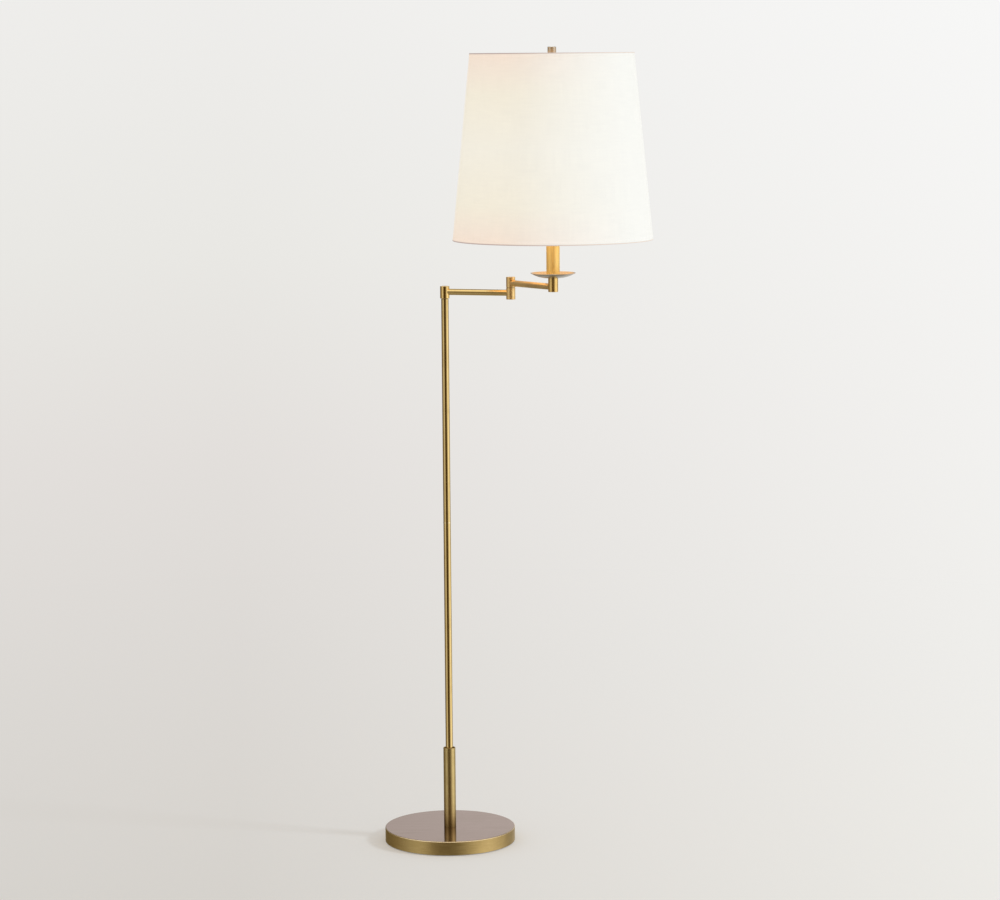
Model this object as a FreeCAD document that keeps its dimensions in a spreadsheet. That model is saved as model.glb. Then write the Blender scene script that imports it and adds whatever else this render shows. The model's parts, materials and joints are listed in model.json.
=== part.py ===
import FreeCAD, Part

import math
import os

import Sketcher

# Adjustable swing-arm floor lamp, millimetres, +Z up.
# Origin: centre of the base's underside, on the floor.
# +X runs along the lower arm at rest, from the pole to the elbow.
# Bodies that move: the lower arm turns about the pole's axis, the upper arm and
# the head it carries turn about the elbow's axis, and the switch knob turns on
# the lamp socket.

DIMENSIONS = {
    # base: a spun cover over an iron weight, on a felt pad
    "base_radius": 127.0,
    "base_height": 28.0,
    "base_edge_radius": 1.6,
    "cover_wall": 1.2,
    "cover_lift": 1.5,
    "pad_radius": 123.0,
    "pad_thickness": 3.0,
    "weight_clearance": 0.4,
    "weight_bore": 5.4,
    "nut_pocket_radius": 17.0,
    "nut_pocket_depth": 18.0,
    "channel_width": 10.0,
    "channel_height": 11.0,
    # threaded rod that clamps the base to the sleeve, with its washer and nut
    "rod_radius": 5.0,
    "rod_bore": 3.3,
    "rod_bottom": 15.0,
    "rod_top": 41.0,
    "rod_washer_radius": 14.0,
    "rod_washer_thickness": 1.5,
    "rod_nut_flats": 15.0,
    "rod_nut_thickness": 4.0,
    # outlet of the mains lead, in the back of the base
    "outlet_height": 8.0,
    "outlet_radius": 4.0,
    "outlet_bore": 2.6,
    "outlet_flange_radius": 5.6,
    "outlet_flange_thickness": 1.6,
    "outlet_length": 12.0,
    # sleeve that stands on the base and holds the pole
    "sleeve_radius": 11.8,
    "sleeve_wall": 1.2,
    "sleeve_top": 185.0,
    "sleeve_lip": 0.5,
    "foot_height": 14.0,
    "foot_spigot": 16.0,
    "collar_height": 16.0,
    "collar_recess": 2.4,
    # pole, in two equal tubes joined by a coupler
    "pole_radius": 7.15,
    "pole_wall": 1.2,
    "pole_joint": 629.3,
    "joint_ring": 1.4,
    "joint_ring_proud": 0.4,
    "coupler_spigot": 25.0,
    "coupler_bore": 3.6,
    "pole_top": 1064.0,
    # swivels: hollow studs with a friction washer below and a nut above
    "stud_radius": 4.5,
    "stud_bore": 2.75,
    "running_gap": 0.05,
    "swivel_washer_radius": 6.4,
    "swivel_washer_thickness": 0.8,
    "swivel_face_gap": 0.3,
    "swivel_nut_flats": 10.2,
    "swivel_nut_thickness": 2.0,
    "stud_insert_depth": 24.0,
    "chamber_radius": 6.0,
    "plug_thickness": 1.8,
    "plug_recess": 0.4,
    "knuckle_chamfer": 0.4,
    # knuckle on top of the pole
    "knuckle_radius": 9.0,
    "knuckle_top": 1088.7,
    "knuckle_floor": 5.2,
    # arms
    "arm_length": 132.0,
    "arm_radius": 6.0,
    "arm_wall": 1.0,
    "arm_seat": 6.2,
    "lower_arm_height": 1077.6,
    "upper_arm_height": 1096.2,
    "upper_arm_turn": -36.6,
    # elbow: a lower half on the lower arm and an upper half on the upper arm
    "elbow_radius": 8.65,
    "elbow_bottom": 1065.3,
    "elbow_bottom_cap": 3.0,
    "elbow_split": 1087.6,
    "elbow_split_gap": 0.4,
    "elbow_web": 3.0,
    "elbow_washer_radius": 7.6,
    "elbow_top_cap": 4.6,
    "elbow_top": 1107.9,
    "cap_spigot": 2.0,
    "elbow_head_radius": 5.4,
    "elbow_head_thickness": 1.6,
    # end knuckle under the drip cup
    "end_radius": 9.3,
    "end_bottom": 1087.0,
    "end_top": 1113.0,
    "end_web": 7.5,
    # riser, drip cup and candle sleeve
    "riser_radius": 4.9,
    "riser_bore": 3.2,
    "cup_floor_radius": 14.0,
    "cup_radius": 42.5,
    "cup_depth": 9.2,
    "cup_wall": 1.1,
    "cup_sweep": 62.0,
    "candle_radius": 12.5,
    "candle_wall": 1.0,
    # harp and its saddle
    "saddle_height": 1273.0,
    "saddle_half_width": 34.0,
    "saddle_strip": 1.2,
    "saddle_strip_width": 7.6,
    "saddle_ear": 16.0,
    "riser_nut_flats": 15.0,
    "riser_nut_thickness": 3.0,
    "harp_height": 236.0,
    "harp_wire": 1.9,
    "harp_leg": 10.0,
    "harp_bend": 40.0,
    "harp_swell": 21.0,
    "harp_crown": 45.0,
    "ferrule_radius": 5.3,
    "ferrule_neck": 3.1,
    "ferrule_bore": 4.15,
    "ferrule_length": 18.0,
    "harp_seat_radius": 7.0,
    "harp_seat_height": 9.0,
    "finial_stud_radius": 3.0,
    "finial_stud_length": 14.0,
    # lamp socket
    "socket_cap_radius": 17.4,
    "socket_cap_height": 17.0,
    "socket_wall": 0.7,
    "socket_cap_ease": 2.8,
    "socket_shell_radius": 16.6,
    "socket_shell_bottom": 3.0,
    "socket_shell_top": 56.0,
    "liner_wall": 0.8,
    "socket_body_bottom": 14.0,
    "socket_body_top": 31.0,
    "socket_body_radius": 14.6,
    "screw_shell_radius": 13.75,
    "screw_shell_wall": 0.35,
    "screw_shell_length": 22.0,
    "contact_radius": 4.5,
    "contact_height": 1.4,
    # switch
    "switch_height": 22.0,
    "spindle_radius": 2.0,
    "spindle_depth": 7.0,
    "spindle_clearance_hole": 2.8,
    "knob_radius": 6.5,
    "knob_length": 13.0,
    "knob_start": 20.0,
    "knob_neck": 4.0,
    "knob_ease": 0.8,
    # bulb
    "bulb_base_radius": 13.2,
    "bulb_base_length": 24.0,
    "bulb_tip_radius": 5.0,
    "bulb_radius": 30.0,
    "bulb_wall": 0.8,
    "bulb_length": 110.0,
    "bulb_neck_radius": 13.0,
    "bulb_neck_curve": 58.0,
    "bulb_meet_angle": 40.0,
    "stem_radius": 4.0,
    "stem_length": 30.0,
    "filament_radius": 0.9,
    "filament_ring": 9.0,
    # shade
    "shade_bottom": 1184.3,
    "shade_height": 347.3,
    "shade_bottom_radius": 187.3,
    "shade_top_radius": 153.0,
    "fabric_wall": 0.7,
    "liner_sheet": 0.5,
    "liner_setback": 0.5,
    "ring_wire": 1.3,
    "ring_inset": 2.0,
    "ring_slack": 0.15,
    "spoke_wire": 1.5,
    "spoke_bend": 12.0,
    "spoke_rise_run": 18.0,
    "spider_washer_radius": 12.0,
    "spider_washer_thickness": 1.4,
    "spider_hole": 3.3,
    # finial
    "finial_radius": 8.0,
    "finial_neck": 5.0,
    "finial_neck_height": 8.0,
    "finial_top": 1542.5,
    "finial_chamfer": 0.6,
    # insulated lead through the pole and arms
    "lead_radius": 1.6,
    "lead_bend": 3.1,
    "lead_slack": 0.01,
    "lead_base_bend": 7.0,
}

SPOKES = 3
SPOKE_START_ANGLE = 90.0

# Limits of the checks this script makes on its own shapes.
POINT_TOLERANCE = 1e-6
EDGE_TOLERANCE = 1e-4
SMALLEST_CUT = 0.01
BAR_TOLERANCE = 0.01

doc = FreeCAD.newDocument("swing_arm_floor_lamp")
sheet = doc.addObject("Spreadsheet::Sheet", "dims")
for row, (alias, amount) in enumerate(DIMENSIONS.items(), start=1):
    sheet.set("A%d" % row, alias)
    sheet.set("B%d" % row, str(amount))
    sheet.setAlias("B%d" % row, alias)
doc.recompute()

# Every sub-part, by label, in the order it is made.
sub_parts = {}


# ---------------------------------------------------------------- expressions

def bound(expression):
    """An expression over the sheet's aliases, written out for setExpression."""
    words = expression.split(" ")
    return " ".join("dims." + word if word in DIMENSIONS else word for word in words)


def value(expression):
    """The number that an expression over the sheet's aliases has now."""
    return float(sheet.evalExpression(bound(expression)))


def size(alias):
    """One driving dimension, read from the sheet."""
    return float(getattr(sheet, alias))


HEAD_X = "arm_length * ( 1 + cos( upper_arm_turn ) )"
HEAD_Y = "arm_length * sin( upper_arm_turn )"

# Where a group of pieces stands: x, y and turn about Z.
STAND = ("0", "0", "0")
ELBOW = ("arm_length", "0", "0")
UPPER_ARM = ("arm_length", "0", "upper_arm_turn")
HEAD = (HEAD_X, HEAD_Y, "0")
HEAD_ON_ARM = (HEAD_X, HEAD_Y, "upper_arm_turn")


def place(item, station, height="0"):
    """Stand a sub-part at a station, lifted to a height, and register it."""
    x, y, turn = station
    item.Placement = FreeCAD.Placement(
        FreeCAD.Vector(value(x), value(y), value(height)),
        FreeCAD.Rotation(FreeCAD.Vector(0, 0, 1), value(turn)),
    )
    item.setExpression("Placement.Base.x", bound(x))
    item.setExpression("Placement.Base.y", bound(y))
    item.setExpression("Placement.Base.z", bound(height))
    if turn != "0":
        item.setExpression("Placement.Rotation.Angle", bound(turn))
    sub_parts[item.Label] = item
    return item


# ------------------------------------------------------------ sketch features

def new_body(label):
    body = doc.addObject("PartDesign::Body", label)
    body.Label = label
    return body


def new_sketch(body, role, offset=None):
    """A sketch on one of the body's own origin planes, moved along its normal."""
    sketch = body.newObject("Sketcher::SketchObject", body.Label + "_sketch")
    plane = [part for part in body.Origin.OriginFeatures if part.Role == role][0]
    sketch.AttachmentSupport = [(plane, "")]
    sketch.MapMode = "FlatFace"
    if offset:
        sketch.setExpression("AttachmentOffset.Base.z", bound(offset))
    return sketch


def pin_point(sketch, line, point, across, up):
    """Fix a point of the sketch to two expressions, measured from its origin."""
    for kind, axis, expression in (("DistanceX", -2, across), ("DistanceY", -1, up)):
        if expression == "0":
            sketch.addConstraint(Sketcher.Constraint("PointOnObject", line, point, axis))
            continue
        rule = Sketcher.Constraint(kind, -1, 1, line, point, value(expression))
        index = sketch.addConstraint(rule)
        sketch.setExpression("Constraints[%d]" % index, bound(expression))


def arc_through(start, end, radius, bulge):
    """The arc from start to end that bulges to the left (+1) or right (-1)."""
    chord = end - start
    middle = (start + end) / 2
    sagitta = radius - math.sqrt(radius ** 2 - (chord.Length / 2) ** 2)
    left = FreeCAD.Vector(-chord.y, chord.x, 0).normalize()
    return Part.Arc(start, middle + left * sagitta * bulge, end)


def draw_outline(sketch, points):
    """A closed outline of (across, up) points. A point with a third entry,
    (radius, bulge), is reached by an arc instead of a straight line."""
    places = [FreeCAD.Vector(value(point[0]), value(point[1]), 0) for point in points]
    first = sketch.GeometryCount
    for index, point in enumerate(points):
        start, end = places[index - 1], places[index]
        if len(point) > 2:
            radius, bulge = point[2]
            sketch.addGeometry(arc_through(start, end, value(radius), bulge), False)
        else:
            sketch.addGeometry(Part.LineSegment(start, end), False)
    for index, point in enumerate(points):
        line = first + index
        following = first + (index + 1) % len(points)
        end_of_line = end_vertex(sketch, line, places[index])
        start_of_next = end_vertex(sketch, following, places[index])
        sketch.addConstraint(
            Sketcher.Constraint("Coincident", line, end_of_line, following, start_of_next))
        pin_point(sketch, line, end_of_line, point[0], point[1])
        if len(point) > 2:
            radius = point[2][0]
            rule = Sketcher.Constraint("Radius", line, value(radius))
            added = sketch.addConstraint(rule)
            sketch.setExpression("Constraints[%d]" % added, bound(radius))


def end_vertex(sketch, line, place_wanted):
    """1 or 2: which end of a sketch line or arc lies at a place."""
    near = sketch.getPoint(line, 1)
    return 1 if near.distanceToPoint(place_wanted) < POINT_TOLERANCE else 2


def draw_circle(sketch, radius, across="0", up="0"):
    centre = FreeCAD.Vector(value(across), value(up), 0)
    circle = Part.Circle(centre, FreeCAD.Vector(0, 0, 1), value(radius))
    line = sketch.addGeometry(circle, False)
    pin_point(sketch, line, 3, across, up)
    index = sketch.addConstraint(Sketcher.Constraint("Radius", line, value(radius)))
    sketch.setExpression("Constraints[%d]" % index, bound(radius))


def turned(label, station, height, points):
    """A lathe-turned or spun piece: an outline of (radius, height) points."""
    body = new_body(label)
    sketch = new_sketch(body, "XZ_Plane")
    draw_outline(sketch, points)
    revolution = body.newObject("PartDesign::Revolution", label + "_turning")
    revolution.Profile = sketch
    revolution.ReferenceAxis = (sketch, ["V_Axis"])
    revolution.Angle = 360
    sketch.Visibility = False
    return place(body, station, height)


def tube_points(outer, inner, bottom, top):
    return [(outer, bottom), (outer, top), (inner, top), (inner, bottom)]


def bar(label, station, height, start, length, outer, inner):
    """A horizontal tube along local +X, from start, at a height."""
    body = new_body(label)
    sketch = new_sketch(body, "YZ_Plane", start)
    draw_circle(sketch, outer)
    draw_circle(sketch, inner)
    pad = body.newObject("PartDesign::Pad", label + "_pad")
    pad.Profile = sketch
    pad.setExpression("Length", bound(length))
    return place(body, station, height)


def drill(body, role, radius, start, length, height="0", reverse=False):
    """A round hole square to an origin plane, from start, along its normal."""
    doc.recompute()
    before = body.Shape.Volume
    sketch = new_sketch(body, role, start)
    draw_circle(sketch, radius, "0", height)
    pocket = body.newObject("PartDesign::Pocket", body.Label + "_hole")
    pocket.Profile = sketch
    pocket.Reversed = reverse
    pocket.setExpression("Length", bound(length))
    doc.recompute()
    if body.Shape.Volume > before - SMALLEST_CUT:
        raise ValueError("a hole in %s cuts nothing" % body.Label)


def circles_at(body, radius, height):
    """Names of the body's circular edges with a radius, at a local height."""
    shape = body.Tip.Shape
    names = []
    for index, edge in enumerate(shape.Edges, start=1):
        if not isinstance(edge.Curve, Part.Circle):
            continue
        if abs(edge.Curve.Radius - value(radius)) > EDGE_TOLERANCE:
            continue
        if abs(edge.Curve.Center.z - value(height)) < EDGE_TOLERANCE:
            names.append("Edge%d" % index)
    return names


def ease_edges(body, kind, amount, places):
    """Fillet or chamfer the circular edges at a list of (radius, height)."""
    doc.recompute()
    names = [name for spot in places for name in circles_at(body, *spot)]
    if len(names) < len(places):
        raise ValueError("an edge of %s is missing" % body.Label)
    base = body.Tip
    dressing = body.newObject("PartDesign::" + kind, body.Label + "_" + kind.lower())
    dressing.Base = (base, names)
    measure = "Radius" if kind == "Fillet" else "Size"
    dressing.setExpression(measure, bound(amount))
    doc.recompute()


def hex_nut(label, station, height, flats, thickness, bore):
    """A hexagon nut with a plain bore, from a prism and a cylinder."""
    prism = doc.addObject("Part::Prism", label + "_prism")
    prism.Polygon = 6
    prism.setExpression("Circumradius", bound(flats + " / sqrt( 3 )"))
    prism.setExpression("Height", bound(thickness))
    hole = doc.addObject("Part::Cylinder", label + "_hole")
    hole.setExpression("Radius", bound(bore))
    hole.setExpression("Height", bound(thickness))
    nut = doc.addObject("Part::Cut", label)
    nut.Label = label
    nut.Base = prism
    nut.Tool = hole
    return place(nut, station, height)


def modelled(label, station, height, shape):
    """A piece whose shape is worked out here from the sheet's sizes."""
    item = doc.addObject("Part::Feature", label)
    item.Label = label
    item.Shape = shape
    return place(item, station, height)


# -------------------------------------------------------------- swept round bar

def rounded_path(points, bend):
    """Straight runs through the points, with an arc of radius bend at each."""
    corners = [FreeCAD.Vector(*point) for point in points]
    edges = []
    start = corners[0]
    for before, corner, after in zip(corners, corners[1:], corners[2:]):
        into = (corner - before).normalize()
        out = (after - corner).normalize()
        half_turn = into.getAngle(out) / 2
        setback = bend * math.tan(half_turn)
        arc_start = corner - into * setback
        arc_end = corner + out * setback
        inward = (out - into).normalize()
        centre = corner + inward * (bend / math.cos(half_turn))
        edges.append(Part.LineSegment(start, arc_start).toShape())
        edges.append(Part.Arc(arc_start, centre - inward * bend, arc_end).toShape())
        start = arc_end
    edges.append(Part.LineSegment(start, corners[-1]).toShape())
    return Part.Wire(edges)


def round_bar(path, radius):
    """A solid round bar along a path of straight runs and tangent arcs."""
    first = path.OrderedEdges[0]
    start = first.valueAt(first.FirstParameter)
    heading = first.tangentAt(first.FirstParameter)
    ring = Part.Wire(Part.makeCircle(radius, start, heading))
    bar_shape = path.makePipe(Part.Face(ring))
    expected = math.pi * radius ** 2 * path.Length
    if abs(bar_shape.Volume / expected - 1) > BAR_TOLERANCE:
        raise ValueError("a swept bar has the wrong volume")
    return bar_shape


# ------------------------------------------------------------------------ base

def make_base():
    edge_in = "base_radius - cover_wall"
    cover = turned("base_cover", STAND, "0", [
        ("base_radius", "cover_lift"),
        ("base_radius", "base_height"),
        ("rod_radius", "base_height"),
        ("rod_radius", "base_height - cover_wall"),
        (edge_in, "base_height - cover_wall"),
        (edge_in, "cover_lift"),
    ])
    ease_edges(cover, "Fillet", "base_edge_radius", [("base_radius", "base_height")])
    drill(cover, "XZ_Plane", "outlet_radius", "0 - base_radius - 1", "cover_wall + 2",
          "outlet_height", reverse=True)

    weight_radius = "base_radius - cover_wall - weight_clearance"
    pocket_top = "pad_thickness + nut_pocket_depth"
    weight = turned("base_weight", STAND, "0", [
        (weight_radius, "pad_thickness"),
        (weight_radius, "base_height - cover_wall"),
        ("weight_bore", "base_height - cover_wall"),
        ("weight_bore", pocket_top),
        ("nut_pocket_radius", pocket_top),
        ("nut_pocket_radius", "pad_thickness"),
    ])
    ease_edges(weight, "Fillet", "base_edge_radius",
               [(weight_radius, "base_height - cover_wall")])
    cut_lead_channel(weight)

    turned("base_pad", STAND, "0", [
        ("0", "0"), ("pad_radius", "0"), ("pad_radius", "pad_thickness"), ("0", "pad_thickness"),
    ])
    turned("base_rod", STAND, "0", tube_points("rod_radius", "rod_bore", "rod_bottom", "rod_top"))
    turned("base_washer", STAND, "0", tube_points(
        "rod_washer_radius", "rod_radius", pocket_top + " - rod_washer_thickness", pocket_top))
    hex_nut("base_nut", STAND, pocket_top + " - rod_washer_thickness - rod_nut_thickness",
            "rod_nut_flats", "rod_nut_thickness", "rod_radius")
    make_outlet()


def cut_lead_channel(weight):
    """A groove in the weight's underside, from the nut pocket to the back."""
    doc.recompute()
    before = weight.Shape.Volume
    sketch = new_sketch(weight, "XZ_Plane")
    draw_outline(sketch, [
        ("channel_width / 2", "pad_thickness"),
        ("channel_width / 2", "pad_thickness + channel_height"),
        ("0 - channel_width / 2", "pad_thickness + channel_height"),
        ("0 - channel_width / 2", "pad_thickness"),
    ])
    pocket = weight.newObject("PartDesign::Pocket", "base_weight_channel")
    pocket.Profile = sketch
    pocket.setExpression("Length", bound("base_radius"))
    doc.recompute()
    if weight.Shape.Volume > before - SMALLEST_CUT:
        raise ValueError("the channel cuts nothing")


def make_outlet():
    """The bushing that the mains lead leaves the base through, at the back."""
    bushing = turned("cord_bushing", STAND, "0", [
        ("outlet_bore", "0"),
        ("outlet_radius", "0"),
        ("outlet_radius", "outlet_length - outlet_flange_thickness"),
        ("outlet_flange_radius", "outlet_length - outlet_flange_thickness"),
        ("outlet_flange_radius", "outlet_length"),
        ("outlet_bore", "outlet_length"),
    ])
    back = "base_radius - outlet_length + outlet_flange_thickness"
    bushing.Placement = FreeCAD.Placement(
        FreeCAD.Vector(0, value(back), value("outlet_height")),
        FreeCAD.Rotation(FreeCAD.Vector(1, 0, 0), -90),
    )
    bushing.setExpression("Placement.Base.y", bound(back))
    bushing.setExpression("Placement.Base.z", bound("outlet_height"))


# ------------------------------------------------------------- sleeve and pole

def make_pole():
    sleeve_in = "sleeve_radius - sleeve_wall"
    pole_in = "pole_radius - pole_wall"
    foot_top = "base_height + foot_height"
    turned("sleeve_foot", STAND, "0", [
        (sleeve_in, "base_height"),
        (sleeve_in, foot_top),
        (pole_in, foot_top),
        (pole_in, foot_top + " + foot_spigot"),
        ("rod_bore", foot_top + " + foot_spigot"),
        ("rod_bore", "rod_top"),
        ("rod_radius", "rod_top"),
        ("rod_radius", "base_height"),
    ])
    sleeve = turned("sleeve_tube", STAND, "0", tube_points(
        "sleeve_radius", sleeve_in, "base_height", "sleeve_top"))
    ease_edges(sleeve, "Fillet", "sleeve_lip",
               [("sleeve_radius", "sleeve_top"), (sleeve_in, "sleeve_top")])
    collar_top = "sleeve_top - collar_recess"
    turned("sleeve_collar", STAND, "0", tube_points(
        sleeve_in, "pole_radius", collar_top + " - collar_height", collar_top))

    ring_top = "pole_joint + joint_ring"
    turned("lower_pole", STAND, "0", tube_points("pole_radius", pole_in, foot_top, "pole_joint"))
    turned("upper_pole", STAND, "0", tube_points("pole_radius", pole_in, ring_top, "pole_top"))
    turned("pole_coupler", STAND, "0", [
        (pole_in, "pole_joint - coupler_spigot"),
        (pole_in, "pole_joint"),
        ("pole_radius + joint_ring_proud", "pole_joint"),
        ("pole_radius + joint_ring_proud", ring_top),
        (pole_in, ring_top),
        (pole_in, ring_top + " + coupler_spigot"),
        ("coupler_bore", ring_top + " + coupler_spigot"),
        ("coupler_bore", "pole_joint - coupler_spigot"),
    ])


def make_pole_swivel():
    """The hollow stud in the pole's top, that the lower arm turns on."""
    pole_in = "pole_radius - pole_wall"
    washer_top = "pole_top + swivel_washer_thickness"
    nut_bottom = washer_top + " + swivel_face_gap + knuckle_floor + swivel_face_gap"
    stud_top = nut_bottom + " + swivel_nut_thickness"
    turned("swivel_stud", STAND, "0", [
        (pole_in, "pole_top - stud_insert_depth"),
        (pole_in, "pole_top"),
        ("stud_radius", "pole_top"),
        ("stud_radius", stud_top),
        ("stud_bore", stud_top),
        ("stud_bore", "pole_top - stud_insert_depth"),
    ])
    turned("swivel_washer", STAND, "0", tube_points(
        "swivel_washer_radius", "stud_radius", "pole_top", washer_top))
    hex_nut("swivel_nut", STAND, nut_bottom, "swivel_nut_flats", "swivel_nut_thickness",
            "stud_radius")


# ------------------------------------------------------------------- lower arm

def make_lower_arm():
    floor_bottom = "pole_top + swivel_washer_thickness + swivel_face_gap"
    knuckle = turned("pole_knuckle", STAND, "0", [
        ("stud_radius + running_gap", floor_bottom),
        ("knuckle_radius", floor_bottom),
        ("knuckle_radius", "knuckle_top"),
        ("chamber_radius", "knuckle_top"),
        ("chamber_radius", floor_bottom + " + knuckle_floor"),
        ("stud_radius + running_gap", floor_bottom + " + knuckle_floor"),
    ])
    ease_edges(knuckle, "Chamfer", "knuckle_chamfer",
               [("knuckle_radius", "knuckle_top"), ("knuckle_radius", floor_bottom)])
    seat_arm(knuckle, "lower_arm_height", 1)
    plug_top = "knuckle_top - plug_recess"
    turned("knuckle_plug", STAND, "0", [
        ("0", plug_top + " - plug_thickness"),
        ("chamber_radius", plug_top + " - plug_thickness"),
        ("chamber_radius", plug_top),
        ("0", plug_top),
    ])
    bar("lower_arm_tube", STAND, "lower_arm_height", "arm_seat", "arm_length - 2 * arm_seat",
        "arm_radius", "arm_radius - arm_wall")
    make_elbow_lower()


def seat_arm(knuckle, height, side):
    """The socket in a knuckle's side that an arm tube is brazed into, and the
    opening that the lead passes. side is +1 for an arm towards local +X."""
    start = "arm_seat" if side > 0 else "0 - arm_seat"
    drill(knuckle, "YZ_Plane", "arm_radius", start, "end_radius", height, reverse=side > 0)
    drill(knuckle, "YZ_Plane", "arm_radius - arm_wall", "0", "end_radius", height,
          reverse=side > 0)


def make_elbow_lower():
    body_bottom = "elbow_bottom + elbow_bottom_cap"
    body_top = "elbow_split - elbow_split_gap"
    lower = turned("elbow_lower_knuckle", ELBOW, "0", [
        ("chamber_radius", body_bottom),
        ("elbow_radius", body_bottom),
        ("elbow_radius", body_top),
        ("stud_radius", body_top),
        ("stud_radius", body_top + " - elbow_web"),
        ("chamber_radius", body_top + " - elbow_web"),
    ])
    ease_edges(lower, "Chamfer", "knuckle_chamfer / 2",
               [("elbow_radius", body_bottom), ("elbow_radius", body_top)])
    seat_arm(lower, "lower_arm_height", -1)
    cap = turned("elbow_bottom_cap", ELBOW, "0", [
        ("0", "elbow_bottom"),
        ("elbow_radius", "elbow_bottom"),
        ("elbow_radius", body_bottom),
        ("chamber_radius", body_bottom),
        ("chamber_radius", body_bottom + " + cap_spigot"),
        ("0", body_bottom + " + cap_spigot"),
    ])
    ease_edges(cap, "Chamfer", "knuckle_chamfer / 2",
               [("elbow_radius", "elbow_bottom"), ("elbow_radius", body_bottom)])

    upper_bottom = "elbow_split + elbow_split_gap"
    nut_bottom = upper_bottom + " + elbow_web + swivel_face_gap"
    stud_top = nut_bottom + " + swivel_nut_thickness"
    head_top = body_top + " - elbow_web"
    turned("elbow_stud", ELBOW, "0", [
        ("stud_bore", head_top + " - elbow_head_thickness"),
        ("elbow_head_radius", head_top + " - elbow_head_thickness"),
        ("elbow_head_radius", head_top),
        ("stud_radius", head_top),
        ("stud_radius", stud_top),
        ("stud_bore", stud_top),
    ])
    turned("elbow_washer", ELBOW, "0", tube_points(
        "elbow_washer_radius", "stud_radius", body_top, upper_bottom + " - running_gap"))
    hex_nut("elbow_nut", ELBOW, nut_bottom, "swivel_nut_flats", "swivel_nut_thickness",
            "stud_radius")


# ------------------------------------------------------------------- upper arm

def make_upper_arm():
    body_bottom = "elbow_split + elbow_split_gap"
    body_top = "elbow_top - elbow_top_cap"
    upper = turned("elbow_upper_knuckle", UPPER_ARM, "0", [
        ("stud_radius + running_gap", body_bottom),
        ("elbow_radius", body_bottom),
        ("elbow_radius", body_top),
        ("chamber_radius", body_top),
        ("chamber_radius", body_bottom + " + elbow_web"),
        ("stud_radius + running_gap", body_bottom + " + elbow_web"),
    ])
    ease_edges(upper, "Chamfer", "knuckle_chamfer / 2",
               [("elbow_radius", body_bottom), ("elbow_radius", body_top)])
    seat_arm(upper, "upper_arm_height", 1)
    cap = turned("elbow_top_cap", UPPER_ARM, "0", [
        ("0", body_top),
        ("elbow_radius", body_top),
        ("elbow_radius", "elbow_top"),
        ("0", "elbow_top"),
    ])
    ease_edges(cap, "Chamfer", "knuckle_chamfer / 2",
               [("elbow_radius", "elbow_top"), ("elbow_radius", body_top)])
    bar("upper_arm_tube", UPPER_ARM, "upper_arm_height", "arm_seat",
        "arm_length - 2 * arm_seat", "arm_radius", "arm_radius - arm_wall")

    end = turned("end_knuckle", HEAD_ON_ARM, "0", [
        ("chamber_radius", "end_bottom"),
        ("end_radius", "end_bottom"),
        ("end_radius", "end_top"),
        ("riser_radius", "end_top"),
        ("riser_radius", "end_top - end_web"),
        ("chamber_radius", "end_top - end_web"),
    ])
    ease_edges(end, "Chamfer", "knuckle_chamfer",
               [("end_radius", "end_bottom"), ("end_radius", "end_top")])
    seat_arm(end, "upper_arm_height", -1)
    plug_bottom = "end_bottom + plug_recess"
    turned("end_plug", HEAD_ON_ARM, "0", [
        ("0", plug_bottom),
        ("chamber_radius", plug_bottom),
        ("chamber_radius", plug_bottom + " + plug_thickness"),
        ("0", plug_bottom + " + plug_thickness"),
    ])


# ------------------------------------------------------------------------ head

def make_candle():
    cap_top = "saddle_height + saddle_strip + socket_wall"
    turned("riser_rod", HEAD, "0", tube_points(
        "riser_radius", "riser_bore", "end_top - end_web", cap_top + " + socket_shell_bottom"))

    turned("drip_cup", HEAD, "end_top", [
        ("cup_floor_radius", "0"),
        ("cup_radius", "cup_depth", ("cup_sweep", -1)),
        ("cup_radius - cup_wall / 2", "cup_depth + cup_wall / 2"),
        ("cup_floor_radius", "cup_wall", ("cup_sweep - cup_wall", 1)),
        ("riser_radius", "cup_wall"),
        ("riser_radius", "0"),
    ])

    candle_top = "saddle_height - riser_nut_thickness"
    turned("candle_sleeve", HEAD, "0", tube_points(
        "candle_radius", "candle_radius - candle_wall", "end_top + cup_wall", candle_top))
    turned("candle_cap", HEAD, "0", [
        ("riser_radius", candle_top + " - plug_thickness"),
        ("candle_radius - candle_wall", candle_top + " - plug_thickness"),
        ("candle_radius - candle_wall", candle_top),
        ("riser_radius", candle_top),
    ])
    hex_nut("riser_nut", HEAD, candle_top, "riser_nut_flats",
            "riser_nut_thickness", "riser_radius")


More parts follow.
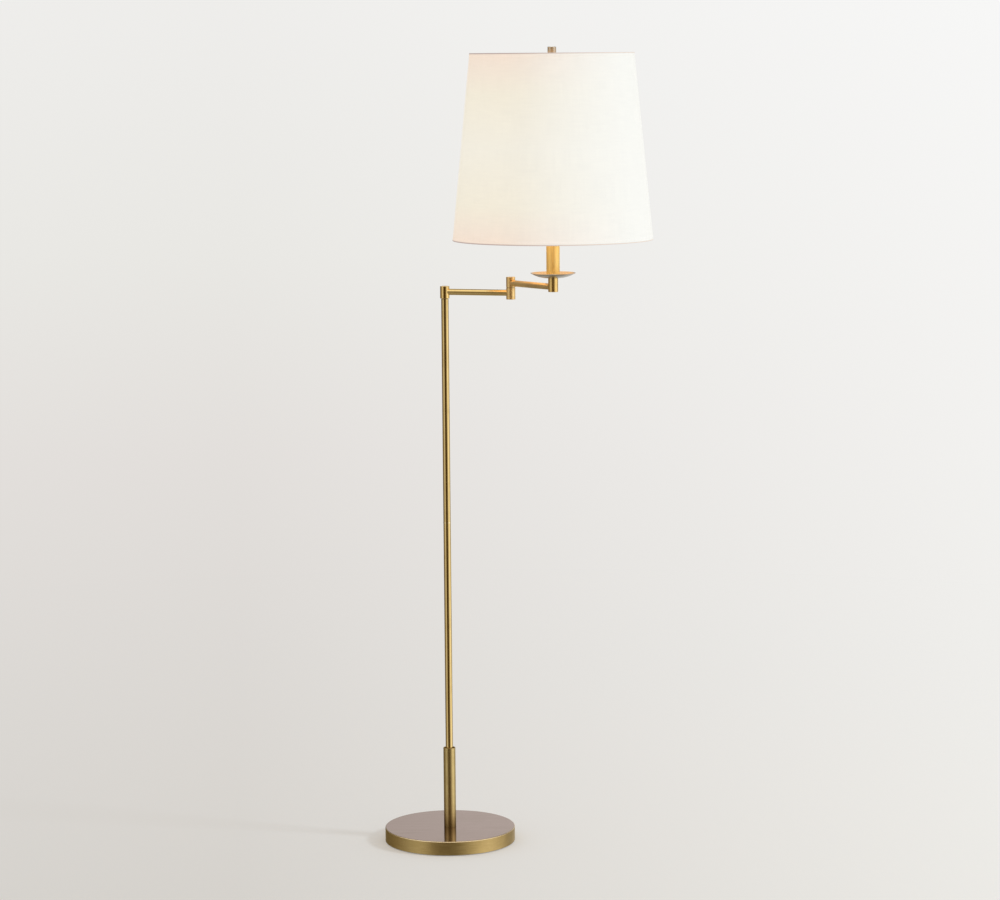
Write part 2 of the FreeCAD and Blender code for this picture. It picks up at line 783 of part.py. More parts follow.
def make_saddle():
    """A bent strip, clamped under the socket, with an upturned ear each side."""
    saddle = new_body("harp_saddle")
    sketch = new_sketch(saddle, "XZ_Plane", "0 - saddle_strip_width / 2")
    outer = "saddle_half_width + saddle_strip / 2"
    inner = "saddle_half_width - saddle_strip / 2"
    draw_outline(sketch, [
        (outer, "0"),
        (outer, "saddle_ear"),
        (inner, "saddle_ear"),
        (inner, "saddle_strip"),
        ("0 - saddle_half_width + saddle_strip / 2", "saddle_strip"),
        ("0 - saddle_half_width + saddle_strip / 2", "saddle_ear"),
        ("0 - saddle_half_width - saddle_strip / 2", "saddle_ear"),
        ("0 - saddle_half_width - saddle_strip / 2", "0"),
    ])
    pad = saddle.newObject("PartDesign::Pad", "harp_saddle_pad")
    pad.Profile = sketch
    pad.setExpression("Length", bound("saddle_strip_width"))
    doc.recompute()
    before = saddle.Shape.Volume
    boss = new_sketch(saddle, "XY_Plane")
    draw_circle(boss, "riser_nut_flats / 2")
    boss_pad = saddle.newObject("PartDesign::Pad", "harp_saddle_boss")
    boss_pad.Profile = boss
    boss_pad.setExpression("Length", bound("saddle_strip"))
    doc.recompute()
    if saddle.Shape.Volume < before:
        raise ValueError("the saddle's boss is missing")
    drill(saddle, "XY_Plane", "riser_radius", "0", "2 * saddle_strip", reverse=True)
    place(saddle, HEAD, "saddle_height")


def harp_path():
    """Half of the harp's wire, mirrored: a leg, a swell round the bulb, a crown."""
    leg_x = size("saddle_half_width")
    bend = size("harp_bend")
    crown = size("harp_crown")
    top = size("harp_height") - size("harp_wire")
    foot = size("saddle_ear")
    knee = foot + size("harp_leg")
    turn = math.acos(1 - size("harp_swell") / (2 * bend))
    wide_x = leg_x + size("harp_swell")
    mid = FreeCAD.Vector(leg_x + size("harp_swell") / 2, 0, knee + bend * math.sin(turn))
    shoulder = knee + 2 * bend * math.sin(turn)

    def arc(centre_x, centre_z, radius, from_angle, to_angle):
        spots = []
        for angle in (from_angle, (from_angle + to_angle) / 2, to_angle):
            spots.append(FreeCAD.Vector(
                centre_x + radius * math.cos(angle), 0, centre_z + radius * math.sin(angle)))
        return Part.Arc(*spots).toShape()

    def line(start, end):
        return Part.LineSegment(FreeCAD.Vector(*start), FreeCAD.Vector(*end)).toShape()

    half = [
        line((leg_x, 0, foot), (leg_x, 0, knee)),
        arc(leg_x + bend, knee, bend, math.pi, math.pi - turn),
        arc(2 * mid.x - leg_x - bend, shoulder, bend, -turn, 0),
        line((wide_x, 0, shoulder), (wide_x, 0, top - crown)),
        arc(wide_x - crown, top - crown, crown, 0, math.pi / 2),
        line((wide_x - crown, 0, top), (0, 0, top)),
    ]
    mirrored = [edge.mirror(FreeCAD.Vector(0, 0, 0), FreeCAD.Vector(1, 0, 0)) for edge in half]
    return Part.Wire(Part.__sortEdges__(half + mirrored))


def make_harp():
    make_saddle()
    modelled("harp", HEAD, "saddle_height", round_bar(harp_path(), size("harp_wire")))

    step = size("ferrule_length") / 2
    ferrules = []
    for side in (-1, 1):
        outline = [
            FreeCAD.Vector(size("ferrule_bore"), 0, -step),
            FreeCAD.Vector(size("ferrule_radius"), 0, -step),
            FreeCAD.Vector(size("ferrule_radius"), 0, 0),
            FreeCAD.Vector(size("ferrule_neck"), 0, step),
            FreeCAD.Vector(size("harp_wire"), 0, step),
            FreeCAD.Vector(size("harp_wire"), 0, 0),
            FreeCAD.Vector(size("ferrule_bore"), 0, 0),
        ]
        face = Part.Face(Part.makePolygon(outline + outline[:1]))
        ferrule = face.revolve(FreeCAD.Vector(0, 0, 0), FreeCAD.Vector(0, 0, 1), 360)
        ferrule.translate(FreeCAD.Vector(side * size("saddle_half_width"), 0, size("saddle_ear")))
        ferrules.append(ferrule)
    modelled("harp_ferrules", HEAD, "saddle_height", Part.makeCompound(ferrules))

    seat = turned("harp_seat", HEAD, "saddle_height + harp_height", [
        ("0", "harp_wire - harp_seat_height"),
        ("harp_seat_radius", "harp_wire - harp_seat_height"),
        ("harp_seat_radius", "harp_wire"),
        ("finial_stud_radius", "harp_wire"),
        ("finial_stud_radius", "harp_wire + finial_stud_length"),
        ("0", "harp_wire + finial_stud_length"),
    ])
    drill(seat, "YZ_Plane", "harp_wire", "0 - harp_seat_radius - 1", "2 * harp_seat_radius + 2",
          "0 - harp_wire", reverse=True)


def make_socket():
    base = "saddle_height + saddle_strip"
    cap_in = "socket_cap_radius - socket_wall"
    cap = turned("socket_cap", HEAD, base, [
        ("riser_radius", "0"),
        ("socket_cap_radius", "0"),
        ("socket_cap_radius", "socket_cap_height"),
        (cap_in, "socket_cap_height"),
        (cap_in, "socket_wall"),
        ("riser_radius", "socket_wall"),
    ])
    ease_edges(cap, "Fillet", "socket_cap_ease", [("socket_cap_radius", "0")])
    shell_in = "socket_shell_radius - socket_wall"
    shell = turned("socket_shell", HEAD, base, tube_points(
        "socket_shell_radius", shell_in, "socket_cap_height / 2", "socket_shell_top"))
    drill(shell, "XZ_Plane", "spindle_clearance_hole", "0", "knob_start", "switch_height",
          reverse=True)
    liner_in = "socket_shell_radius - socket_wall - liner_wall"
    liner = turned("socket_liner", HEAD, base, tube_points(
        shell_in, liner_in, "socket_cap_height / 2", "socket_shell_top - socket_wall"))
    drill(liner, "XZ_Plane", "spindle_clearance_hole", "0", "knob_start", "switch_height",
          reverse=True)
    block = turned("socket_body", HEAD, base, [
        ("riser_bore", "socket_body_bottom"),
        ("socket_body_radius", "socket_body_bottom"),
        ("socket_body_radius", "socket_body_top"),
        ("0", "socket_body_top"),
        ("0", "socket_body_bottom + liner_wall"),
        ("riser_bore", "socket_body_bottom + liner_wall"),
    ])
    drill(block, "XZ_Plane", "spindle_radius + running_gap",
          "socket_body_radius - spindle_depth - running_gap", "knob_start", "switch_height",
          reverse=True)
    turned("socket_screw_shell", HEAD, base, tube_points(
        "screw_shell_radius", "screw_shell_radius - screw_shell_wall",
        "socket_body_top", "socket_body_top + screw_shell_length"))
    turned("socket_contact", HEAD, base, [
        ("0", "socket_body_top"),
        ("contact_radius", "socket_body_top"),
        ("contact_radius", "socket_body_top + contact_height"),
        ("0", "socket_body_top + contact_height"),
    ])


def make_knob():
    """The turn knob and its spindle, which point to the head's -Y side."""
    start = "socket_body_radius - spindle_depth"
    knob = turned("switch_knob", HEAD, "0", [
        ("0", start),
        ("spindle_radius", start),
        ("spindle_radius", "knob_start"),
        ("knob_neck", "knob_start"),
        ("knob_radius", "knob_start + knob_neck"),
        ("knob_radius", "knob_start + knob_length"),
        ("0", "knob_start + knob_length"),
    ])
    ease_edges(knob, "Fillet", "knob_ease",
               [("knob_radius", "knob_start + knob_length")])
    height = "saddle_height + saddle_strip + switch_height"
    knob.Placement = FreeCAD.Placement(
        FreeCAD.Vector(value(HEAD_X), value(HEAD_Y), value(height)),
        FreeCAD.Rotation(FreeCAD.Vector(1, 0, 0), 90),
    )
    knob.setExpression("Placement.Base.z", bound(height))


def make_bulb():
    tip = "saddle_height + saddle_strip + socket_body_top + contact_height"
    base_top = "bulb_base_length"
    turned("bulb_base", HEAD, tip, [
        ("0", "0"),
        ("bulb_tip_radius", "0"),
        ("bulb_base_radius", "bulb_tip_radius"),
        ("bulb_base_radius", base_top),
        ("bulb_neck_radius - bulb_wall", base_top),
        ("bulb_neck_radius - bulb_wall", "bulb_tip_radius + bulb_wall"),
        ("0", "bulb_tip_radius + bulb_wall"),
    ])
    centre = "bulb_length - bulb_radius"
    # The globe meets the neck's curve at an angle below the globe's equator.
    meet_x = " * cos( bulb_meet_angle )"
    meet_z = " * sin( bulb_meet_angle )"
    inner = "( bulb_radius - bulb_wall )"
    turned("bulb_glass", HEAD, tip, [
        ("bulb_neck_radius", base_top),
        ("bulb_radius" + meet_x, centre + " - bulb_radius" + meet_z, ("bulb_neck_curve", 1)),
        ("bulb_radius", centre, ("bulb_radius", -1)),
        ("0", "bulb_length", ("bulb_radius", -1)),
        ("0", "bulb_length - bulb_wall"),
        ("bulb_radius - bulb_wall", centre, ("bulb_radius - bulb_wall", 1)),
        (inner + meet_x, centre + " - " + inner + meet_z, ("bulb_radius - bulb_wall", 1)),
        ("bulb_neck_radius - bulb_wall", base_top, ("bulb_neck_curve + bulb_wall", -1)),
    ])
    stem_top = base_top + " + stem_length"
    turned("bulb_stem", HEAD, tip, [
        ("0", "bulb_tip_radius + bulb_wall"),
        ("bulb_neck_radius - bulb_wall", "bulb_tip_radius + bulb_wall"),
        ("stem_radius", base_top),
        ("stem_radius", stem_top),
        ("0", stem_top),
    ])
    filament = doc.addObject("Part::Torus", "bulb_filament")
    filament.Label = "bulb_filament"
    filament.setExpression("Radius1", bound("filament_ring"))
    filament.setExpression("Radius2", bound("filament_radius"))
    place(filament, HEAD, tip + " + " + stem_top + " + filament_radius")


# ----------------------------------------------------------------------- shade

TAPER = "( shade_bottom_radius - shade_top_radius ) / shade_height"


def shade_skin(label, outside, thickness, setback):
    """A conical skin that lies outside mm in from the shade's outer face."""
    low = "shade_bottom_radius - %s * %s - " % (TAPER, setback)
    high = "shade_top_radius + %s * %s - " % (TAPER, setback)
    inside = "( " + outside + " + " + thickness + " )"
    return turned(label, HEAD, "shade_bottom", [
        (low + outside, setback),
        (high + outside, "shade_height - " + setback),
        (high + inside, "shade_height - " + setback),
        (low + inside, setback),
    ])


def make_shade():
    shade_skin("shade_fabric", "0", "fabric_wall", "0")
    shade_skin("shade_liner", "fabric_wall", "liner_sheet", "liner_setback")

    walls = "fabric_wall - liner_sheet - ring_slack - ring_wire"
    ring = doc.addObject("Part::Torus", "shade_bottom_ring")
    ring.Label = "shade_bottom_ring"
    ring.setExpression("Radius1", bound(
        "shade_bottom_radius - %s * ( ring_inset + ring_wire ) - %s" % (TAPER, walls)))
    ring.setExpression("Radius2", bound("ring_wire"))
    place(ring, HEAD, "shade_bottom + ring_inset")
    modelled("shade_spider", HEAD, "saddle_height + harp_height + harp_wire", spider_shape())


def spider_shape():
    """The top ring, three cranked spokes and the washer that sits on the harp."""
    rise = value("shade_bottom + shade_height - ring_inset"
                 " - saddle_height - harp_height - harp_wire")
    walls = value("fabric_wall + liner_sheet + ring_slack + ring_wire")
    taper = value(TAPER)
    ring_radius = size("shade_top_radius") - walls
    ring_radius += taper * (size("ring_inset") - size("ring_wire"))
    thickness = size("spider_washer_thickness")
    level = thickness / 2
    shape = Part.makeTorus(ring_radius, size("ring_wire"), FreeCAD.Vector(0, 0, rise))
    shape = shape.fuse(Part.makeCylinder(size("spider_washer_radius"), thickness))
    inner_end = (size("spider_washer_radius") + size("spider_hole")) / 2
    path = rounded_path([
        (inner_end, 0, level),
        (ring_radius - size("spoke_rise_run"), 0, level),
        (ring_radius, 0, rise),
    ], size("spoke_bend"))
    spoke = round_bar(path, size("spoke_wire"))
    for index in range(SPOKES):
        turned_spoke = spoke.copy()
        angle = SPOKE_START_ANGLE + index * 360 / SPOKES
        turned_spoke.rotate(FreeCAD.Vector(0, 0, 0), FreeCAD.Vector(0, 0, 1), angle)
        shape = shape.fuse(turned_spoke)
    hole_base = FreeCAD.Vector(0, 0, -thickness)
    shape = shape.cut(Part.makeCylinder(size("spider_hole"), 3 * thickness, hole_base))
    return shape.removeSplitter().Solids[0]


def make_finial():
    bottom = "saddle_height + harp_height + harp_wire + spider_washer_thickness"
    total = "finial_top - saddle_height - harp_height - harp_wire - spider_washer_thickness"
    hole_top = "finial_stud_length - spider_washer_thickness"
    finial = turned("finial", HEAD, bottom, [
        ("finial_stud_radius", "0"),
        ("finial_neck", "0"),
        ("finial_neck", "finial_neck_height"),
        ("finial_radius", "finial_neck_height"),
        ("finial_radius", total),
        ("0", total),
        ("0", hole_top),
        ("finial_stud_radius", hole_top),
    ])
    ease_edges(finial, "Chamfer", "finial_chamfer",
               [("finial_radius", total), ("finial_radius", "finial_neck_height")])


# ----------------------------------------------------------------------- leads

def make_leads():
    """The insulated lead, in one length for each body, meeting on the swivels."""
    radius = size("lead_radius")
    bend = size("lead_bend")
    low = size("lower_arm_height")
    high = size("upper_arm_height")
    reach = size("arm_length")
    split = size("elbow_split")
    outlet = size("outlet_height")
    inner_end = size("base_radius") - size("outlet_length") + size("outlet_flange_thickness")
    swivel_meet = low - bend
    # A bend just under the end run keeps a straight piece at each meeting end.
    arm_bend = bend - size("lead_slack")

    pole_route = rounded_path([(0, inner_end, outlet), (0, 0, outlet), (0, 0, swivel_meet)],
                              size("lead_base_bend"))
    modelled("pole_lead", STAND, "0", round_bar(pole_route, radius))

    lower_route = rounded_path([(0, 0, swivel_meet), (0, 0, low), (reach, 0, low),
                                (reach, 0, split)], arm_bend)
    modelled("lower_arm_lead", STAND, "0", round_bar(lower_route, radius))

    lead_end = value("saddle_height + saddle_strip + socket_body_bottom")
    upper_route = rounded_path([(0, 0, split), (0, 0, high), (reach, 0, high),
                                (reach, 0, lead_end)], arm_bend)
    modelled("upper_arm_lead", UPPER_ARM, "0", round_bar(upper_route, radius))


# ------------------------------------------------------------- build and write

def check_document():
    for item in doc.Objects:
        if "Invalid" in item.State or "Error" in item.State:
            raise ValueError("%s did not compute: %s" % (item.Label, item.State))
    for label, item in sub_parts.items():
        if item.Shape.isNull() or not item.Shape.isValid():
            raise ValueError("%s has no valid shape" % label)


def main():
    make_base()
    make_pole()
    make_pole_swivel()
    make_lower_arm()
    make_upper_arm()
    make_candle()
    make_harp()
    make_socket()
    make_knob()
    make_bulb()
    make_shade()
    make_finial()
    make_leads()
    doc.recompute()
    check_document()
    os.makedirs("parts", exist_ok=True)
    for label, item in sub_parts.items():
        item.Shape.exportStep("parts/%s.step" % label)
    print("wrote %d sub-parts" % len(sub_parts))


main()
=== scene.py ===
import json
import math

import bmesh
import bpy
from mathutils import Matrix, Quaternion, Vector


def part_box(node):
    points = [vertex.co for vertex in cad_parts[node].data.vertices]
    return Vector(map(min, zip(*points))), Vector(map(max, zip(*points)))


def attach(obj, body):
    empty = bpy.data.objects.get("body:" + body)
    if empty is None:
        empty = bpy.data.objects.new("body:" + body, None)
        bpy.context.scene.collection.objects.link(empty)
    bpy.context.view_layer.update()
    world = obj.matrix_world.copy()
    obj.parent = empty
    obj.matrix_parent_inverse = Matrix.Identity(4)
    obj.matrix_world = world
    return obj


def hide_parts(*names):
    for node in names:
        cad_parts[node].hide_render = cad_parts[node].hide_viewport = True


# Swing-arm floor lamp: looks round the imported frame. Metres, +Z up, +X along the
# lower arm at rest.

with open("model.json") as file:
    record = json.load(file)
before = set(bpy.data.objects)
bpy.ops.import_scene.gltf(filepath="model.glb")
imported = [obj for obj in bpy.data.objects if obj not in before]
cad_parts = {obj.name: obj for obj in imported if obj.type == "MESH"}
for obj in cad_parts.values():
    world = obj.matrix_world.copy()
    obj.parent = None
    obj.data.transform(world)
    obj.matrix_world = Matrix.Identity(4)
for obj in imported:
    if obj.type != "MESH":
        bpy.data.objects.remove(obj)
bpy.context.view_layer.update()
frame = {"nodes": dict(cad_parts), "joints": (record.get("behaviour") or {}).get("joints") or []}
nodes = frame["nodes"]
scene = bpy.context.scene
scene.view_settings.view_transform = "Standard"

TURN = 2 * math.pi
MM = 0.001


def centre_of(node):
    """The middle of a CAD node's box."""
    low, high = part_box(node)
    return (low + high) / 2


def joint_axis(name):
    """The point that a joint turns about."""
    return Vector([joint["pos_m"] for joint in frame["joints"] if joint["name"] == name][0])


# Axes of the object, read from the frame.
POLE_AXIS = joint_axis("arm_swivel")
ELBOW_AXIS = joint_axis("elbow_swivel")
HEAD_AXIS = centre_of("candle_sleeve")
ARM_TURN = math.atan2(HEAD_AXIS.y - ELBOW_AXIS.y, HEAD_AXIS.x - ELBOW_AXIS.x)


# -------------------------------------------------------------------- camera

VIEW_TURN = math.radians(16.6)
VIEW_PITCH = math.radians(7.3165)
VIEW_ROLL = math.radians(0.45)
VIEW_DISTANCE = 5.926
VIEW_OFFSET = 0.1036
VIEW_HEIGHT = 1.5315
VIEW_LENS = 111.3
VIEW_SENSOR = 36
VIEW_CLIP = 200

AHEAD = Vector((-math.sin(VIEW_TURN), math.cos(VIEW_TURN), 0))
ACROSS = Vector((math.cos(VIEW_TURN), math.sin(VIEW_TURN), 0))
UP = Vector((0, 0, 1))
VIEW_SPOT = ACROSS * VIEW_OFFSET - AHEAD * VIEW_DISTANCE + UP * VIEW_HEIGHT

# The key light comes from the right and a little in front.
KEY_BEARING = math.radians(17)
KEY_HEIGHT = math.radians(36)
KEY_COLOUR = Vector((0.71, 0.84, 1.0))
KEY_STRENGTH = 0.80
KEY_SPREAD = math.radians(9)
KEY_AWAY = 4.0
KEY_LEVEL = ACROSS * math.cos(KEY_BEARING) - AHEAD * math.sin(KEY_BEARING)


def make_camera():
    data = bpy.data.cameras.new("camera")
    data.lens = VIEW_LENS
    data.sensor_width = VIEW_SENSOR
    data.clip_end = VIEW_CLIP
    camera = bpy.data.objects.new("camera", data)
    scene.collection.objects.link(camera)
    looking = AHEAD * math.cos(VIEW_PITCH) - UP * math.sin(VIEW_PITCH)
    camera.location = VIEW_SPOT
    camera.rotation_mode = "QUATERNION"
    camera.rotation_quaternion = (Quaternion(looking, VIEW_ROLL)
                                  @ looking.to_track_quat("-Z", "Y"))
    scene.camera = camera


# ------------------------------------------------------------- shader builder

# The part of a noise's output that carries its pattern.
LINE_RANGE = (0.35, 0.65)
GRAIN_RANGE = (0.3, 0.7)
CLOUD_RANGE = (0.35, 0.7)
# Relief depths, in metres.
FINE = 0.0001
COARSE = 0.0002


class Nodes:
    """Short calls for the shader nodes that repeat."""

    def __init__(self, tree):
        self.tree = tree
        tree.nodes.clear()

    def node(self, kind, inputs=None, **settings):
        made = self.tree.nodes.new("ShaderNode" + kind)
        for key, setting in settings.items():
            setattr(made, key, setting)
        for key, source in (inputs or {}).items():
            self.feed(made, key, source)
        return made

    def feed(self, made, key, source):
        socket = made.inputs[key]
        if isinstance(source, bpy.types.NodeSocket):
            self.tree.links.new(source, socket)
        elif socket.type == "RGBA" and len(source) == 3:
            socket.default_value = (*source, 1)
        else:
            socket.default_value = source

    def math(self, operation, first, second=0.0):
        return self.node("Math", {0: first, 1: second}, operation=operation).outputs[0]

    def vector_math(self, operation, first, second=(0, 0, 0)):
        made = self.node("VectorMath", {0: first, 1: second}, operation=operation)
        return made.outputs["Value" if operation in ("LENGTH", "DOT_PRODUCT") else "Vector"]

    def split(self, vector):
        return self.node("SeparateXYZ", {0: vector}).outputs

    def join(self, x, y, z):
        return self.node("CombineXYZ", {0: x, 1: y, 2: z}).outputs[0]

    def noise(self, vector, scale, detail=3.0, roughness=0.5):
        return self.node("TexNoise", {"Vector": vector, "Scale": scale, "Detail": detail,
                                      "Roughness": roughness}).outputs[0]

    def ramp(self, factor, stops):
        made = self.node("ValToRGB", {0: factor})
        elements = made.color_ramp.elements
        while len(elements) < len(stops):
            elements.new(0.5)
        for element, (position, colour) in zip(elements, stops):
            element.position = position
            element.color = (*colour, 1)
        return made.outputs[0]

    def span(self, factor, low, high, to_low=0.0, to_high=1.0, curve="LINEAR"):
        return self.node("MapRange", {0: factor, 1: low, 2: high, 3: to_low, 4: to_high},
                         interpolation_type=curve).outputs[0]

    def mix(self, factor, first, second, blend="MIX"):
        return self.node("Mix", {0: factor, 6: first, 7: second}, data_type="RGBA",
                         blend_type=blend).outputs[2]


class Shader(Nodes):
    """A material built from nodes, in the object's rest coordinates."""

    def __init__(self, name):
        self.material = bpy.data.materials.new(name)
        self.material.use_nodes = True
        super().__init__(self.material.node_tree)
        self.output = self.node("OutputMaterial")

    def place(self):
        return self.node("TexCoord").outputs["Object"]

    def facing_up(self):
        """How far the surface looks up, from -1 to 1."""
        return self.split(self.node("NewGeometry").outputs["Normal"])[2]

    def cylinder(self, axis, round_scale, high_scale, radius_scale):
        """Angle, height and radius about a vertical axis, scaled for a grain."""
        x, y, z = self.split(self.vector_math("SUBTRACT", self.place(), (axis.x, axis.y, 0)))
        angle = self.math("ARCTAN2", y, x)
        radius = self.vector_math("LENGTH", self.join(x, y, 0.0))
        return self.join(self.math("MULTIPLY", angle, round_scale),
                         self.math("MULTIPLY", z, high_scale),
                         self.math("MULTIPLY", radius, radius_scale))

    def along(self, turn, long_scale, cross_scale):
        """Position scaled for a level grain that runs along a heading."""
        turned = self.node("VectorRotate", {"Vector": self.place(), "Angle": -turn},
                           rotation_type="Z_AXIS").outputs[0]
        return self.vector_math("MULTIPLY", turned, (long_scale, cross_scale, cross_scale))

    def bump(self, height, strength, distance, normal=None):
        inputs = {"Height": height, "Strength": strength, "Distance": distance}
        if normal is not None:
            inputs["Normal"] = normal
        return self.node("Bump", inputs).outputs[0]

    def finish(self, **sockets):
        """A Principled shader with these sockets, straight to the output."""
        names = {key.replace("_", " ").title(): source for key, source in sockets.items()}
        body = self.node("BsdfPrincipled", names)
        self.tree.links.new(body.outputs[0], self.output.inputs[0])
        return self.material


def paint(material, *names):
    """Put one material on these CAD nodes."""
    for name in names:
        slots = nodes[name].data.materials
        slots.clear()
        slots.append(material)


# --------------------------------------------------------------------- metals

BRASS_LIGHT = (0.84, 0.65, 0.31)
BRASS_DEEP = (0.72, 0.52, 0.21)
BRASS_BROWN = (0.30, 0.17, 0.06)
FOOT_DARK = (0.17, 0.11, 0.03)
FOOT_SHARE = 0.65
CLOUD_SCALE = 28.0
SPECK_SCALE = 620.0


def upright_grain(axis):
    """Brush lines that run up a vertical tube."""
    return lambda shader: shader.cylinder(axis, 22.0, 5.0, 0.0)


def turned_grain(axis):
    """Lines that run round a turned piece."""
    return lambda shader: shader.cylinder(axis, 1.0, 1400.0, 1400.0)


def arm_grain(turn):
    """Brush lines that run along a level arm."""
    return lambda shader: shader.along(turn, 8.0, 1600.0)


def brushed_brass(name, grain, roughness, light=BRASS_LIGHT, deep=BRASS_DEEP, patina=0.3,
                  dark_foot=None):
    """Hand-brushed antique brass under a satin lacquer. dark_foot is a pair of heights between
    which the colour comes up from dark to full, so the tube is darker towards its foot."""
    shader = Shader(name)
    lines = shader.noise(grain(shader), 1.0, 4.0, 0.6)
    cloud = shader.noise(shader.place(), CLOUD_SCALE, 4.0, 0.6)
    specks = shader.noise(shader.place(), SPECK_SCALE, 2.0, 0.5)
    tone = shader.mix(shader.span(lines, *LINE_RANGE), deep, light)
    tone = shader.mix(shader.span(cloud, 0.5, 0.78, 0.0, patina), tone, BRASS_BROWN)
    tone = shader.mix(shader.span(specks, 0.68, 0.8, 0.0, 0.35), tone, BRASS_BROWN)
    if dark_foot:
        level = shader.split(shader.place())[2]
        tone = shader.mix(shader.span(level, *dark_foot, FOOT_SHARE, 0.0), tone, FOOT_DARK)
    rough = shader.math("ADD", shader.span(lines, *GRAIN_RANGE, roughness * 0.8, roughness * 1.2),
                        shader.span(cloud, 0.45, 0.75, 0.0, 0.05))
    return shader.finish(base_color=tone, metallic=1.0, roughness=rough,
                         normal=shader.bump(lines, 0.05, FINE))


def base_brass():
    """The base cover: straight brush lines and dark bronze lacquer on top, turned
    lines on the side."""
    shader = Shader("base_brass")
    up = shader.facing_up()
    flat = shader.span(up, 0.6, 0.97, curve="SMOOTHSTEP")
    top_lines = shader.noise(shader.along(VIEW_TURN, 7.0, 1100.0), 1.0, 4.0, 0.65)
    side_lines = shader.noise(shader.cylinder(POLE_AXIS, 4.0, 3200.0, 0.0), 1.0, 4.0, 0.65)
    cloud = shader.noise(shader.place(), 12.0, 5.0, 0.6)
    top_tone = shader.mix(shader.span(top_lines, *LINE_RANGE), (0.29, 0.18, 0.13),
                          (0.365, 0.24, 0.20))
    side_tone = shader.mix(shader.span(side_lines, *LINE_RANGE), (0.50, 0.36, 0.13),
                           (0.72, 0.55, 0.26))
    tone = shader.mix(flat, side_tone, top_tone)
    # The rounded rim between side and top is painted lighter: partly rubbed wear, partly a
    # painted highlight.
    rim_wear_and_highlight = shader.math("MULTIPLY", shader.span(up, 0.04, 0.25),
                       shader.span(up, 0.7, 0.95, 1.0, 0.0))
    tone = shader.mix(rim_wear_and_highlight, tone, (1.0, 0.84, 0.56))
    tone = shader.mix(shader.span(cloud, 0.48, 0.75, 0.0, 0.3), tone, (0.20, 0.11, 0.05))
    top_rough = shader.span(top_lines, *GRAIN_RANGE, 0.07, 0.12)
    side_rough = shader.span(side_lines, *GRAIN_RANGE, 0.40, 0.50)
    rough = shader.mix(flat, side_rough, top_rough)
    lines = shader.mix(flat, side_lines, top_lines)
    return shader.finish(base_color=tone, metallic=1.0, roughness=rough,
                         normal=shader.bump(lines, 0.04, FINE))


METAL_GRAIN = 700.0


def plain_metal(name, light, dark, roughness):
    """Drawn or cast metal with a fine random grain."""
    shader = Shader(name)
    grain = shader.noise(shader.place(), METAL_GRAIN, 3.0)
    cloud = shader.noise(shader.place(), 60.0, 3.0)
    tone = shader.mix(shader.span(cloud, *CLOUD_RANGE), light, dark)
    rough = shader.span(grain, *GRAIN_RANGE, roughness * 0.8, roughness * 1.25)
    return shader.finish(base_color=tone, metallic=1.0, roughness=rough,
                         normal=shader.bump(grain, 0.06, FINE))


def threaded_steel(name, axis, pitch):
    """Zinc-plated rod with a rolled thread about a vertical axis."""
    shader = Shader(name)
    angle, height, _ = shader.split(shader.cylinder(axis, 1 / TURN, 1 / pitch, 0.0))
    wave = shader.math("PINGPONG", shader.math("SUBTRACT", height, angle), 0.5)
    grain = shader.noise(shader.place(), 900.0, 3.0)
    cloud = shader.noise(shader.place(), 90.0, 3.0)
    tone = shader.mix(shader.span(cloud, *CLOUD_RANGE), (0.66, 0.65, 0.61), (0.50, 0.47, 0.38))
    tone = shader.mix(shader.span(wave, 0.0, 0.15, 0.6, 0.0), tone, (0.16, 0.14, 0.11))
    fine = shader.bump(grain, 0.05, FINE)
    return shader.finish(base_color=tone, metallic=1.0,
                         roughness=shader.span(grain, *GRAIN_RANGE, 0.26, 0.4),
                         normal=shader.bump(wave, 0.8, pitch / 2, fine))


# ------------------------------------------------------- other hard materials

def moulded(name, light, dark, roughness, scale=1400.0, bump=0.08):
    """Plastic, paint, felt or cast iron: an even tone with a fine grain."""
    shader = Shader(name)
    grain = shader.noise(shader.place(), scale, 2.0)
    cloud = shader.noise(shader.place(), 45.0, 3.0)
    tone = shader.mix(shader.span(cloud, *CLOUD_RANGE), light, dark)
    rough = shader.span(grain, *GRAIN_RANGE, roughness * 0.85, roughness * 1.15)
    return shader.finish(base_color=tone, roughness=rough,
                         normal=shader.bump(grain, bump, COARSE))


def braided_lead(name):
    """Insulated lead with a woven sleeve."""
    shader = Shader(name)
    place = shader.place()
    x, y, z = shader.split(place)
    slope = shader.math("ADD", shader.math("ADD", x, y), z)
    twist = shader.math("SINE", shader.math("MULTIPLY", slope, 3600.0))
    fibre = shader.noise(place, 1500.0, 3.0)
    tone = shader.mix(shader.span(twist, -1.0, 1.0), (0.50, 0.38, 0.20), (0.66, 0.54, 0.33))
    tone = shader.mix(shader.span(fibre, 0.4, 0.7, 0.0, 0.4), tone, (0.30, 0.22, 0.12))
    return shader.finish(base_color=tone, roughness=0.75, sheen_weight=0.2,
                         normal=shader.bump(twist, 0.5, COARSE))


def frosted_glass():
    """The lit bulb: frosted glass that glows warm."""
    shader = Shader("frosted_glass")
    grain = shader.noise(shader.place(), 1600.0, 2.0)
    level = shader.split(shader.place())[2]
    low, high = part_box("bulb_glass")
    glow = shader.ramp(shader.span(level, low.z, high.z), [
        (0.0, (0.70, 0.36, 0.12)), (0.35, (1.0, 0.66, 0.34)), (1.0, (1.0, 0.76, 0.46))])
    return shader.finish(base_color=(0.92, 0.91, 0.88), roughness=0.45,
                         normal=shader.bump(grain, 0.1, FINE),
                         emission_color=glow, emission_strength=3.0)


def glowing_core():
    """The ring inside the bulb that gives the light."""
    shader = Shader("glowing_core")
    grain = shader.noise(shader.place(), 900.0, 2.0)
    glow = shader.mix(shader.span(grain, *GRAIN_RANGE), (1.0, 0.62, 0.25), (1.0, 0.74, 0.4))
    return shader.finish(base_color=(0.8, 0.7, 0.5), roughness=0.5,
                         emission_color=glow, emission_strength=6.0)


# ------------------------------------------------------------------- the shade

